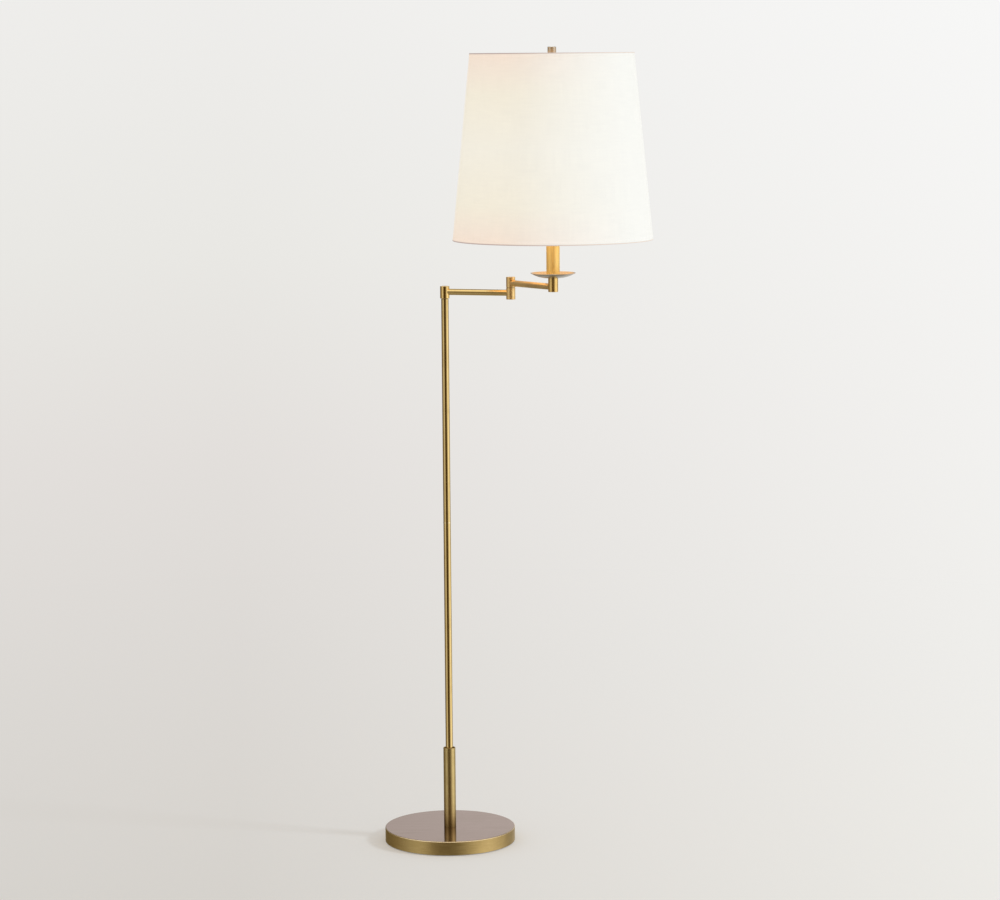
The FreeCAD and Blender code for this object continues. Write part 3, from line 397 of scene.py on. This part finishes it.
SHADE_LOW, SHADE_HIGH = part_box("shade_fabric")
SHADE_BOTTOM_RADIUS = (SHADE_HIGH.x - SHADE_LOW.x) / 2
SHADE_TOP_RADIUS = 0.153
SHADE_HEIGHT = SHADE_HIGH.z - SHADE_LOW.z
FABRIC_WALL = 0.7 * MM
HEM_DEPTH = 6 * MM
HEM_RISE = 0.45 * MM
SEAM_WIDTH = 11 * MM
SEAM_RISE = 0.5 * MM
THREADS_PER_RADIAN = 170.0
WEFT_PITCH = 1.0 * MM
SLUB_RANGE = (0.8, 1.2)
SLUB_SHADE = 0.11
# The rim wires and the folded fabric keep the light off this far from each edge.
RIM_BAND = (1.2 * MM, 2.6 * MM)
# Painted shade on the hems: the cloth's own colour darkens to this near each edge.
RIM_PAINTED_SHADE = (0.66, 0.60, 0.56)
RIM_GLOW = (0.06, 0.0, 0.0)
# The side that the key light washes shows less of the warm light. The band is how
# far the surface faces the key.
WASH_BAND = (-0.3, 0.92)
WASHED_GLOW = (0.385, 0.338, 0.232)
WASHED_RIM_GLOW = (0.34, 0.28, 0.22)


def linen():
    """Off-white linen with the warm light of the bulb coming through it, painted in as a glow
    that is warmer towards the rims.
    """
    shader = Shader("linen")
    angle, height, _ = shader.split(shader.cylinder(HEAD_AXIS, THREADS_PER_RADIAN,
                                                    1 / WEFT_PITCH, 0.0))
    warp = shader.math("SINE", shader.math("MULTIPLY", angle, TURN))
    weft = shader.math("SINE", shader.math("MULTIPLY", height, TURN))
    weave = shader.math("MULTIPLY", shader.math("ADD", warp, weft), 0.25)
    slub_up = shader.noise(shader.cylinder(HEAD_AXIS, 75.0, 16.0, 0.0), 1.0, 3.0, 0.6)
    slub_round = shader.noise(shader.cylinder(HEAD_AXIS, 3.5, 480.0, 0.0), 1.0, 3.0, 0.6)
    slubs = shader.math("ADD", slub_up, slub_round)
    tone = shader.mix(shader.span(slubs, *SLUB_RANGE), (0.75, 0.79, 0.84), (0.785, 0.82, 0.865))
    tone = shader.mix(shader.span(weave, -0.5, 0.5, 0.12, 0.0), tone, (0.58, 0.58, 0.58))
    relief = shader.math("ADD", weave, shader.math("MULTIPLY", slubs, 0.8))

    level = shader.split(shader.place())[2]
    up = shader.math("SUBTRACT", level, SHADE_LOW.z)
    # Painted light: the glow through the cloth, graded by height.
    glow = shader.ramp(shader.span(up, 0.0, SHADE_HEIGHT), [
        (0.00, (0.47, 0.290, 0.140)),
        (0.06, (0.46, 0.310, 0.165)),
        (0.20, (0.455, 0.370, 0.205)),
        (0.50, (0.455, 0.390, 0.255)),
        (0.78, (0.455, 0.370, 0.205)),
        (0.94, (0.46, 0.310, 0.165)),
        (1.00, (0.47, 0.290, 0.140)),
    ])
    inset = shader.math("MINIMUM", up, shader.math("SUBTRACT", SHADE_HEIGHT, up))
    lit = shader.span(inset, *RIM_BAND)
    normal = shader.node("NewGeometry").outputs["Normal"]
    to_key = shader.vector_math("DOT_PRODUCT", normal, tuple(KEY_LEVEL))
    washed = shader.span(to_key, *WASH_BAND)
    glow = shader.mix(washed, glow, WASHED_GLOW)
    edge = shader.mix(washed, RIM_GLOW, WASHED_RIM_GLOW)
    glow = shader.mix(lit, edge, glow)
    # Painted shade: the cloth's colour darkens near each edge.
    tone = shader.mix(lit, RIM_PAINTED_SHADE, tone)
    glow = shader.mix(shader.span(slubs, *SLUB_RANGE, SLUB_SHADE, 0.0), glow, (0.05, 0.03, 0.0))
    return shader.finish(base_color=tone, roughness=0.9, normal=shader.bump(relief, 0.3, COARSE),
                         emission_color=glow, emission_strength=1.0, sheen_weight=0.06,
                         sheen_roughness=0.5)


def shade_backing():
    """The stiff backing seen from inside, with the bulb's light on it painted in as a warm glow.
    """
    shader = Shader("shade_backing")
    fibre = shader.noise(shader.cylinder(HEAD_AXIS, 60.0, 300.0, 0.0), 1.0, 4.0, 0.6)
    level = shader.split(shader.place())[2]
    # Painted light: the bulb's light on the backing, as an emission brightest at mid-height.
    warm = shader.ramp(shader.span(level, SHADE_LOW.z, SHADE_HIGH.z), [
        (0.0, (0.88, 0.50, 0.21)), (0.5, (0.98, 0.62, 0.33)), (1.0, (0.72, 0.40, 0.18))])
    glow = shader.mix(shader.span(fibre, *GRAIN_RANGE, 0.0, 0.15), warm, (0.4, 0.25, 0.1))
    return shader.finish(base_color=(0.56, 0.50, 0.42), roughness=0.6,
                         normal=shader.bump(fibre, 0.1, COARSE),
                         emission_color=glow, emission_strength=1.0)


# ----------------------------------------------------------- pieces made here

def revolve(name, spot, profile, segments=96, ring=False, ripple=None, tilt=None):
    """A turned mesh. profile is (radius, height, share) from the axis or, for a
    ring, all the way round; share is how much of the ripple a point takes."""
    work = bmesh.new()
    loops = []
    for radius, height, share in profile:
        if radius == 0:
            loops.append([work.verts.new((0, 0, height))])
            continue
        loop = []
        for step in range(segments):
            angle = TURN * step / segments
            reach = radius + (share * ripple(angle, height) if share else 0)
            loop.append(work.verts.new((reach * math.cos(angle), reach * math.sin(angle),
                                        height)))
        loops.append(loop)
    pairs = list(zip(loops, loops[1:]))
    if ring:
        pairs.append((loops[-1], loops[0]))
    for lower, upper in pairs:
        for step in range(segments):
            after = step + 1
            corners = [lower[step % len(lower)], lower[after % len(lower)],
                       upper[after % len(upper)], upper[step % len(upper)]]
            work.faces.new(list(dict.fromkeys(corners)))
    bmesh.ops.recalc_face_normals(work, faces=work.faces[:])
    mesh = bpy.data.meshes.new(name)
    work.to_mesh(mesh)
    work.free()
    if tilt:
        mesh.transform(tilt)
    mesh.transform(Matrix.Translation(spot))
    mesh.shade_smooth()
    mesh.set_sharp_from_angle(angle=math.radians(35))
    piece = bpy.data.objects.new(name, mesh)
    scene.collection.objects.link(piece)
    return piece


def dress(piece, material, slot, body, *replaced):
    """Give a made piece its material and body, and hide the CAD parts that it replaces. The slot
    argument is not used.
    """
    piece.data.materials.append(material)
    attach(piece, body)
    if replaced:
        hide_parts(*replaced)
    return piece


def ease(amount):
    """A smooth step from 0 to 1."""
    amount = min(1.0, max(0.0, amount))
    return amount * amount * (3 - 2 * amount)


def make_shade(material):
    """The linen cover: one closed sheet with turned hems and a lapped back seam."""
    slope = (SHADE_TOP_RADIUS - SHADE_BOTTOM_RADIUS) / SHADE_HEIGHT
    hem_edge = 0.8 * MM
    lip = 0.35 * MM

    def outer(up):
        inset = min(up, SHADE_HEIGHT - up)
        hem = 1 - ease((inset - HEM_DEPTH) / hem_edge)
        rounding = lip * (1 - ease(inset / lip))
        return SHADE_BOTTOM_RADIUS + slope * up + HEM_RISE * hem - rounding

    near_edge = [0, 0.15 * MM, 0.35 * MM, 1.2 * MM, 3 * MM, 5 * MM, 6 * MM, 6.2 * MM,
                 6.4 * MM, 6.6 * MM, 6.8 * MM, 8 * MM]
    rows = 30
    first, last = near_edge[-1], SHADE_HEIGHT - near_edge[-1]
    middle = [first + (last - first) * row / rows for row in range(1, rows)]
    heights = near_edge + middle + [SHADE_HEIGHT - up for up in reversed(near_edge)]
    profile = [(outer(up), SHADE_LOW.z + up, 1) for up in heights]
    for up in reversed(heights[1:-1:3]):
        profile.append((SHADE_BOTTOM_RADIUS + slope * up - FABRIC_WALL, SHADE_LOW.z + up, 0))

    seam_at = math.atan2(AHEAD.y, AHEAD.x)

    def seam(angle, height):
        away = abs((angle - seam_at + math.pi) % TURN - math.pi) * SHADE_BOTTOM_RADIUS
        return SEAM_RISE * (1 - ease((away - SEAM_WIDTH / 2) / (2 * MM)))

    cover = revolve("shade_linen", (HEAD_AXIS.x, HEAD_AXIS.y, 0), profile, 512, True, seam)
    dress(cover, material, "linen", "upper_arm", "shade_fabric")


def make_pad(material):
    """The felt under the base, cut a little unevenly, with soft edges."""
    low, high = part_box("base_pad")
    radius = (high.x - low.x) / 2 - 0.5 * MM
    thick = high.z - low.z
    soft = 0.8 * MM

    def cut(angle, height):
        return 0.3 * MM * (math.sin(7 * angle) + 0.6 * math.sin(19 * angle + 1)) / 1.6

    inner = [(radius * step / 12, 0) for step in range(12)]
    edge = [(radius - soft, 0), (radius - 0.3 * soft, 0.3 * soft), (radius, soft),
            (radius, thick - soft), (radius - 0.3 * soft, thick - 0.3 * soft),
            (radius - soft, thick)]
    profile = [(reach, rise, 0) for reach, rise in inner]
    profile += [(reach, rise, 1) for reach, rise in edge]
    profile += [(reach, thick, 0) for reach, rise in reversed(inner)]
    pad = revolve("felt_pad", (POLE_AXIS.x, POLE_AXIS.y, low.z), profile, 144, False, cut)
    dress(pad, material, "felt", "stand", "base_pad")


def make_knob(material):
    """The fluted switch knob on its spindle, pointing to the head's -Y side."""
    low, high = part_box("switch_knob")
    radius = (high.z - low.z) / 2
    length = high.y - low.y
    spindle = 2 * MM
    neck = 4 * MM
    barrel = length - 13 * MM
    flutes = 20

    def flute(angle, height):
        return -0.45 * MM * (0.5 - 0.5 * math.cos(flutes * angle))

    profile = [
        (0, 0, 0), (spindle - 0.3 * MM, 0, 0), (spindle, 0.3 * MM, 0), (spindle, barrel, 0),
        (neck, barrel, 0), (neck + 0.4 * MM, barrel + 1.5 * MM, 0),
        (radius - 0.9 * MM, barrel + 3.4 * MM, 0), (radius, barrel + 4.2 * MM, 1),
        (radius, length - 1.2 * MM, 1), (radius - 0.35 * MM, length - 0.4 * MM, 1),
        (radius - 1.2 * MM, length, 0), (radius - 2.6 * MM, length, 0),
        (radius - 3 * MM, length - 0.4 * MM, 0), (0, length - 0.5 * MM, 0),
    ]
    middle = (low + high) / 2
    spot = (middle.x, high.y, middle.z)
    knob = revolve("fluted_knob", spot, profile, 240, False, flute,
                   Matrix.Rotation(math.pi / 2, 4, "X"))
    dress(knob, material, "black_plastic", "switch_knob", "switch_knob")


def make_bulb_base(metal, black):
    """The bulb's screw cap with its rolled thread, insulator and tip contact."""
    low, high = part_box("bulb_base")
    radius = (high.x - low.x) / 2
    length = high.z - low.z
    pitch = 3.6 * MM
    depth = 0.55 * MM
    start = 5.5 * MM

    def thread(angle, height):
        fade = ease((height - start) / MM) * ease((length - 1.5 * MM - height) / (2 * MM))
        return depth * fade * math.sin(TURN * (height / pitch - angle / TURN))

    mean = radius - depth
    rows = 56
    profile = [(mean - 1.2 * MM, start, 0), (mean, start + 0.4 * MM, 0)]
    profile += [(mean, start + 0.4 * MM + (length - start - 0.4 * MM) * row / rows, 1)
                for row in range(1, rows + 1)]
    profile += [(mean - 1.2 * MM, length, 0)]
    spot = (HEAD_AXIS.x, HEAD_AXIS.y, low.z)
    screw = revolve("bulb_screw", spot, profile, 96, True, thread)
    dress(screw, metal, "bulb_metal", "upper_arm", "bulb_base")
    cone = [(0, 1.2 * MM, 0), (4.4 * MM, 1.2 * MM, 0), (5.2 * MM, 1.6 * MM, 0),
            (mean - 1.6 * MM, start - 0.5 * MM, 0), (mean - 0.8 * MM, start, 0),
            (mean - 1.3 * MM, start + 0.6 * MM, 0), (0, start + 0.6 * MM, 0)]
    dress(revolve("bulb_insulator", spot, cone, 72), black, "phenolic", "upper_arm")
    tip = [(0, 0, 0), (2.2 * MM, 0.1 * MM, 0), (3.8 * MM, 0.5 * MM, 0), (4.4 * MM, 1.1 * MM, 0),
           (4.2 * MM, 1.5 * MM, 0), (0, 1.5 * MM, 0)]
    dress(revolve("bulb_tip", spot, tip, 48), metal, "bulb_metal", "upper_arm")


# ---------------------------------------------------------------------- world

# The slopes of the view between which the backdrop grades, and its colours there.
SKY_LOW = -0.27
SKY_HIGH = 0.03
SKY_SIDES = (-0.085, 0.157)
LEFT_SKY = [(0.0, (0.662, 0.642, 0.607)), (0.475, (0.765, 0.737, 0.712)),
            (0.69, (0.815, 0.805, 0.774)), (1.0, (0.864, 0.856, 0.840))]
RIGHT_SKY = [(0.0, (0.829, 0.821, 0.788)), (0.475, (0.888, 0.880, 0.863)),
             (1.0, (0.937, 0.936, 0.930))]
AMBIENT = 0.60
# How far up or down a direction points where the studio's ceiling and floor begin.
CEILING_BAND = (0.36, 0.62)
GROUND_BAND = (-0.80, -0.50)
CEILING_FRONT = (1.22, 1.14, 1.0)
CEILING_BACK = (0.20, 0.17, 0.12)
GROUND_TONE = (0.34, 0.31, 0.25)


def backdrop(tree, heading):
    """The pale seamless backdrop in a direction, lighter to the right and up."""
    rise = tree.span(tree.split(heading)[2], SKY_LOW, SKY_HIGH)
    side = tree.vector_math("DOT_PRODUCT", heading, tuple(ACROSS))
    return tree.mix(tree.span(side, *SKY_SIDES), tree.ramp(rise, LEFT_SKY),
                    tree.ramp(rise, RIGHT_SKY))


def studio(tree, heading):
    """What the brass reflects: a dark room behind the camera with a soft light on
    each side, the backdrop behind, a bright ceiling and a pale floor."""
    level = tree.split(heading)[2]
    side = tree.vector_math("DOT_PRODUCT", heading, tuple(ACROSS))
    front = tree.vector_math("DOT_PRODUCT", heading, tuple(-AHEAD))
    # From straight ahead of the camera, by its left and behind it, and back.
    turn = tree.math("ARCTAN2", side, front)
    walls = tree.ramp(tree.span(turn, -math.pi, math.pi), [
        (0.00, (0.86, 0.86, 0.85)),
        (0.03, (0.44, 0.42, 0.38)),
        (0.06, (0.12, 0.10, 0.06)),
        (0.14, (0.15, 0.12, 0.07)),
        (0.22, (0.24, 0.19, 0.12)),
        (0.29, (0.46, 0.45, 0.42)),
        (0.35, (0.80, 0.78, 0.73)),
        (0.375, (0.78, 0.75, 0.68)),
        (0.41, (0.17, 0.13, 0.07)),
        (0.44, (0.09, 0.06, 0.02)),
        (0.48, (0.06, 0.035, 0.008)),
        (0.53, (0.07, 0.045, 0.012)),
        (0.57, (0.22, 0.18, 0.12)),
        (0.61, (0.66, 0.63, 0.56)),
        (0.67, (1.20, 1.17, 1.10)),
        (0.71, (1.30, 1.28, 1.22)),
        (0.77, (0.90, 0.88, 0.84)),
        (0.84, (0.32, 0.30, 0.26)),
        (0.92, (0.62, 0.61, 0.59)),
        (1.00, (0.86, 0.86, 0.85)),
    ])
    above = tree.mix(tree.span(front, -0.5, 0.0), CEILING_BACK, CEILING_FRONT)
    ceiling = tree.span(level, *CEILING_BAND, curve="SMOOTHSTEP")
    ground = tree.span(level, *GROUND_BAND, 1.0, 0.0, "SMOOTHSTEP")
    return tree.mix(ground, tree.mix(ceiling, walls, above), GROUND_TONE)


def make_world():
    world = bpy.data.worlds.new("studio")
    scene.world = world
    world.use_nodes = True
    # Glossy rays see the studio and other rays see the ambient level, so the world
    # is not sampled as a light, which would mix the two.
    world.cycles.sampling_method = "NONE"
    tree = Nodes(world.node_tree)
    heading = tree.node("TexCoord").outputs["Generated"]
    rays = tree.node("LightPath").outputs
    seen = tree.mix(rays["Is Glossy Ray"], (AMBIENT,) * 3, studio(tree, heading))
    seen = tree.mix(rays["Is Camera Ray"], seen, backdrop(tree, heading))
    shown = tree.node("Background", {"Color": seen, "Strength": 1.0}).outputs[0]
    tree.node("OutputWorld", {"Surface": shown})


# --------------------------------------------------------------- key and floor

# The part of the floor's brightness that shadows can take away; the rest is a painted glow.
FLOOR_SHARE = 0.7
FLOOR_RADIUS = 5.0
FLOOR_FADE = (1.4, 4.2)
FLOOR_GAP = 0.2 * MM


def make_key():
    """The soft key light."""
    data = bpy.data.lights.new("key", "SUN")
    data.energy = KEY_STRENGTH
    data.color = KEY_COLOUR
    data.angle = KEY_SPREAD
    light = bpy.data.objects.new("key", data)
    scene.collection.objects.link(light)
    source = KEY_LEVEL * math.cos(KEY_HEIGHT) + UP * math.sin(KEY_HEIGHT)
    light.rotation_mode = "QUATERNION"
    light.rotation_quaternion = (-source).to_track_quat("-Z", "Y")
    light.location = source * KEY_AWAY
    light.visible_glossy = False


def make_floor():
    """A pale floor in the backdrop's own tones, which takes soft shadows and fades out well away
    from the lamp. Its colour is painted light: the tones are graded by direction from the view's
    spot, lighter to the right and further off, and part of the brightness is a painted glow."""
    mesh = bpy.data.meshes.new("floor")
    work = bmesh.new()
    bmesh.ops.create_circle(work, cap_ends=True, radius=FLOOR_RADIUS, segments=96)
    work.to_mesh(mesh)
    work.free()
    floor = bpy.data.objects.new("floor", mesh)
    scene.collection.objects.link(floor)
    floor.visible_glossy = False
    floor.location.z = -FLOOR_GAP

    shader = Shader("floor_paint")
    place = shader.place()
    heading = shader.vector_math("NORMALIZE",
                                 shader.vector_math("SUBTRACT", place, tuple(VIEW_SPOT)))
    # Painted light: the backdrop's graded tones, laid on the floor by direction from the view's
    # spot.
    wanted = backdrop(shader, heading)
    key = KEY_COLOUR * (KEY_STRENGTH * math.sin(KEY_HEIGHT) / math.pi)
    share = [FLOOR_SHARE / (AMBIENT + part) for part in key]
    grain = shader.noise(place, 260.0, 4.0)
    tone = shader.mix(1.0, wanted, tuple(share), "MULTIPLY")
    tone = shader.mix(shader.span(grain, *GRAIN_RANGE, 0.0, 0.015), tone, (0.4, 0.4, 0.4))
    matt = shader.node("BsdfDiffuse", {"Color": tone}).outputs[0]
    # Painted glow: this share of the floor's brightness is emitted, not lit.
    painted_floor_glow = shader.node("Emission", {"Color": wanted, "Strength": 1 - FLOOR_SHARE}).outputs[0]
    paint_node = shader.node("AddShader", {0: matt, 1: painted_floor_glow}).outputs[0]
    clear = shader.node("BsdfTransparent").outputs[0]
    fade = shader.span(shader.vector_math("LENGTH", place), *FLOOR_FADE, curve="SMOOTHSTEP")
    blend = shader.node("MixShader", {0: fade, 1: paint_node, 2: clear}).outputs[0]
    shader.tree.links.new(blend, shader.output.inputs[0])
    mesh.materials.append(shader.material)


# ----------------------------------------------------------------------- main

def paint_brass():
    paint(base_brass(), "base_cover")
    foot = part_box("sleeve_tube")[0].z
    paint(brushed_brass("sleeve_brass", upright_grain(POLE_AXIS), 0.34, (0.67, 0.53, 0.255),
                        (0.56, 0.42, 0.17), 0.3, (foot, foot + 22 * MM)), "sleeve_tube")
    paint(brushed_brass("pole_brass", upright_grain(POLE_AXIS), 0.13),
          "lower_pole", "upper_pole")
    # Painted light: the pole knuckle's brass is warmed and lightened to stand in for the shade's
    # warm light falling on it.
    paint(brushed_brass("knuckle_brass_painted_warm_light", turned_grain(POLE_AXIS), 0.14, (0.94, 0.70, 0.31),
                        (0.82, 0.56, 0.20)), "pole_knuckle", "knuckle_plug")
    paint(brushed_brass("collar_brass", turned_grain(POLE_AXIS), 0.24, (0.34, 0.22, 0.09),
                        (0.20, 0.12, 0.05)), "sleeve_collar", "sleeve_foot")
    # Partly a painted highlight: the coupler ring is polished brass, and its tone is also
    # lightened so that it shows as a bright line.
    paint(brushed_brass("ring_brass_partly_painted_highlight", turned_grain(POLE_AXIS), 0.10, (1.0, 0.88, 0.60),
                        (0.92, 0.76, 0.44), 0.0), "pole_coupler")
    # Painted light: the elbow's brass is lightened and warmed to stand in for the bulb's light
    # from under the shade.
    paint(brushed_brass("elbow_brass_painted_bulb_light", turned_grain(ELBOW_AXIS), 0.42, (1.0, 0.75, 0.37),
                        (0.93, 0.66, 0.29)),
          "elbow_lower_knuckle", "elbow_bottom_cap", "elbow_upper_knuckle", "elbow_top_cap")
    paint(brushed_brass("lower_arm_brass", arm_grain(0.0), 0.13), "lower_arm_tube")
    # Painted light: the upper arm's brass is lightened to stand in for the shade's light falling
    # on its top.
    paint(brushed_brass("upper_arm_brass_painted_light", arm_grain(ARM_TURN), 0.36, (1.0, 0.79, 0.46),
                        (0.90, 0.69, 0.36)), "upper_arm_tube")
    # Painted light: the end knuckle's brass is warmed to stand in for the bulb's light from the
    # shade above.
    paint(brushed_brass("end_brass_painted_bulb_light", turned_grain(HEAD_AXIS), 0.28, (0.96, 0.69, 0.28),
                        (0.86, 0.58, 0.20)), "end_knuckle", "end_plug")
    paint(brushed_brass("cup_brass", turned_grain(HEAD_AXIS), 0.26, (0.56, 0.53, 0.48),
                        (0.50, 0.46, 0.39), 0.15), "drip_cup")
    # Painted light: the candle sleeve's brass is brightened and warmed, beyond real brass, to
    # stand in for the bulb's light falling on it.
    paint(brushed_brass("candle_brass_painted_bulb_light", upright_grain(HEAD_AXIS), 0.60, (1.0, 0.86, 0.42),
                        (1.0, 0.78, 0.30), 0.08), "candle_sleeve", "candle_cap")
    paint(brushed_brass("finial_brass", turned_grain(HEAD_AXIS), 0.30, (0.62, 0.60, 0.55),
                        (0.54, 0.50, 0.42), 0.05), "finial")


def paint_inner():
    paint(plain_metal("socket_brass", (0.84, 0.66, 0.34), (0.74, 0.54, 0.24), 0.22),
          "socket_cap", "socket_shell", "socket_screw_shell", "socket_contact")
    paint(plain_metal("harp_wire", (0.80, 0.64, 0.36), (0.66, 0.50, 0.26), 0.24),
          "harp", "harp_ferrules", "harp_saddle", "harp_seat")
    paint(plain_metal("zinc_steel", (0.66, 0.65, 0.61), (0.52, 0.50, 0.42), 0.32),
          "base_washer", "base_nut", "swivel_nut", "elbow_nut", "riser_nut")
    paint(threaded_steel("threaded_rod", POLE_AXIS, 1.0 * MM), "base_rod", "swivel_stud")
    paint(threaded_steel("threaded_stud", ELBOW_AXIS, 1.0 * MM), "elbow_stud")
    paint(threaded_steel("threaded_riser", HEAD_AXIS, 1.0 * MM), "riser_rod")
    paint(moulded("cast_weight", (0.045, 0.043, 0.040), (0.09, 0.085, 0.08), 0.7, 260.0, 0.6),
          "base_weight")
    paint(moulded("nylon", (0.05, 0.045, 0.04), (0.035, 0.03, 0.028), 0.45),
          "swivel_washer", "elbow_washer")
    paint(moulded("black_plastic", (0.03, 0.03, 0.03), (0.045, 0.043, 0.04), 0.4),
          "cord_bushing")
    paint(moulded("phenolic", (0.05, 0.034, 0.028), (0.03, 0.02, 0.016), 0.28), "socket_body")
    paint(moulded("fibre_liner", (0.55, 0.45, 0.32), (0.44, 0.34, 0.22), 0.85, 500.0, 0.4),
          "socket_liner")
    paint(moulded("shade_wire", (0.78, 0.76, 0.71), (0.70, 0.67, 0.61), 0.42),
          "shade_spider", "shade_bottom_ring")
    paint(braided_lead("lead_sheath"), "pole_lead", "lower_arm_lead", "upper_arm_lead")
    paint(frosted_glass(), "bulb_glass")
    paint(moulded("bulb_core", (0.80, 0.78, 0.74), (0.70, 0.68, 0.64), 0.4), "bulb_stem")
    paint(glowing_core(), "bulb_filament")
    paint(shade_backing(), "shade_liner")


def main():
    make_camera()
    make_world()
    make_key()
    make_floor()
    paint_brass()
    paint_inner()
    make_shade(linen())
    make_pad(moulded("felt", (0.035, 0.033, 0.032), (0.06, 0.057, 0.055), 0.95, 1800.0, 0.9))
    make_knob(moulded("knob_plastic", (0.02, 0.019, 0.018), (0.035, 0.033, 0.031), 0.32))
    metal = plain_metal("bulb_metal", (0.78, 0.78, 0.76), (0.68, 0.68, 0.66), 0.25)
    make_bulb_base(metal, moulded("bulb_black", (0.02, 0.02, 0.022), (0.035, 0.03, 0.03), 0.2))


main()
